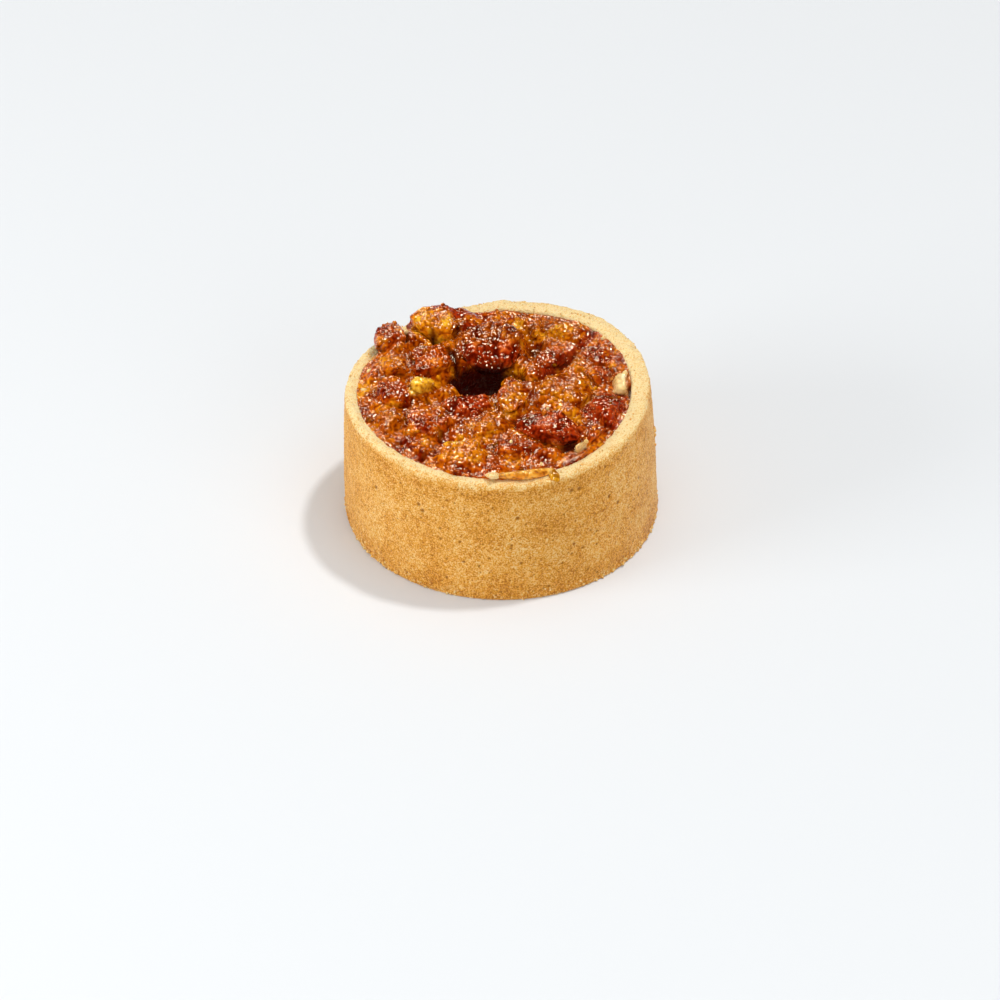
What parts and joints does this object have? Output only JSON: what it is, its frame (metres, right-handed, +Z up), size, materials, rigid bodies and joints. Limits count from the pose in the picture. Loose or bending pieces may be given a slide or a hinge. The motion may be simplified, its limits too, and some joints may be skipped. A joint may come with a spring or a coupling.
{
  "type": "pecan tart",
  "caption": "Small straight-sided shortcrust tart, whole and uncut, heaped with glazed chopped pecans in caramel.",
  "frame": {"origin": "middle of the underside, at bounding-box bottom centre", "axes": "+Z up through the tart, -Y towards the side that faces the camera, +X to its right"},
  "size_m": [0.0814, 0.0828, 0.0443],
  "materials": {
    "pastry": "dry baked shortcrust, fine sandy grain with small pits",
    "caramel": "glossy baked caramel with grains of sugar",
    "pecan_golden": "glazed golden nut",
    "pecan_amber": "glazed amber nut",
    "pecan_red_brown": "glazed red-brown nut skin",
    "pecan_dark_skin": "glazed dark nut skin",
    "pecan_yellow": "bright yellow broken nut face",
    "pecan_pale": "pale cream broken nut face"
  },
  "bodies": {
    "root": {"pastry_case": "pastry", "caramel_filling": "caramel", "pecan_half_centre": "pecan_dark_skin", "pecan_half_right_front": "pecan_dark_skin", "pecan_golden_back_left": "pecan_golden", "pecan_golden_left_back": "pecan_golden", "pecan_amber_left": "pecan_amber", "pecan_brown_centre_left": "pecan_red_brown", "pecan_yellow_chip": "pecan_yellow", "pecan_brown_left": "pecan_red_brown", "pecan_amber_left_front": "pecan_amber", "pecan_red_front_left": "pecan_red_brown", "pecan_dark_centre_front": "pecan_dark_skin", "pecan_golden_front": "pecan_golden", "pecan_golden_centre_right": "pecan_amber", "pecan_amber_centre_right": "pecan_amber", "pecan_amber_back_right": "pecan_amber", "pecan_golden_back": "pecan_golden", "pecan_brown_back": "pecan_red_brown", "pecan_brown_right_back": "pecan_red_brown", "pecan_red_right": "pecan_red_brown", "pecan_pale_chip_right": "pecan_pale", "pecan_dark_right": "pecan_dark_skin", "pecan_brown_right_front": "pecan_red_brown", "pecan_pale_chip_front": "pecan_pale", "pecan_red_front_centre": "pecan_red_brown", "pecan_amber_centre_front": "pecan_amber", "pecan_brown_back_gap": "pecan_red_brown"}
  },
  "joints": []
}
